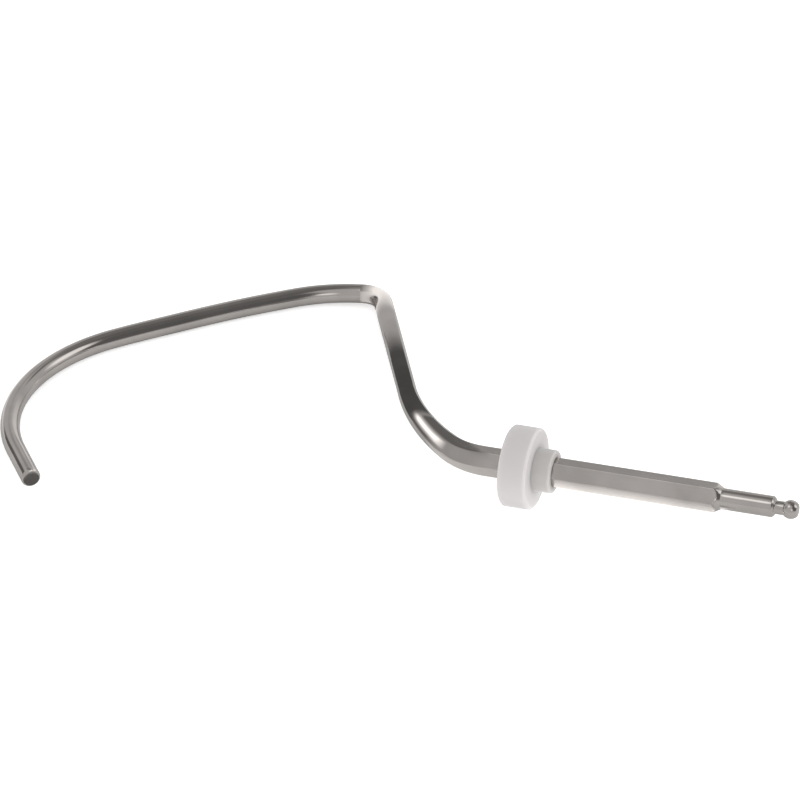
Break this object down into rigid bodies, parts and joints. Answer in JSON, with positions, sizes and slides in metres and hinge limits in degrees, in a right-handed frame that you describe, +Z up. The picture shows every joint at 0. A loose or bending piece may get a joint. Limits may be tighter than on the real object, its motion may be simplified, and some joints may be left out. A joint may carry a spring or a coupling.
{
  "type": "stand mixer dough hook",
  "caption": "Bent steel rod dough hook with a hexagonal shank, a turned pin with neck and bead at the drive end, and a moulded white collar.",
  "frame": {"origin": "middle of the part's bounding box in plan, on the table that the hook lies on", "axes": "+X along the shank in plan, towards the drive end; +Y towards the elbow; +Z up from the table"},
  "size_m": [0.2541, 0.1376, 0.0257],
  "materials": {
    "polished_steel": "polished steel",
    "milky_plastic": "translucent milky white, satin moulding"
  },
  "bodies": {
    "root": {"hook_rod": "polished_steel", "collar": "milky_plastic"}
  },
  "joints": []
}
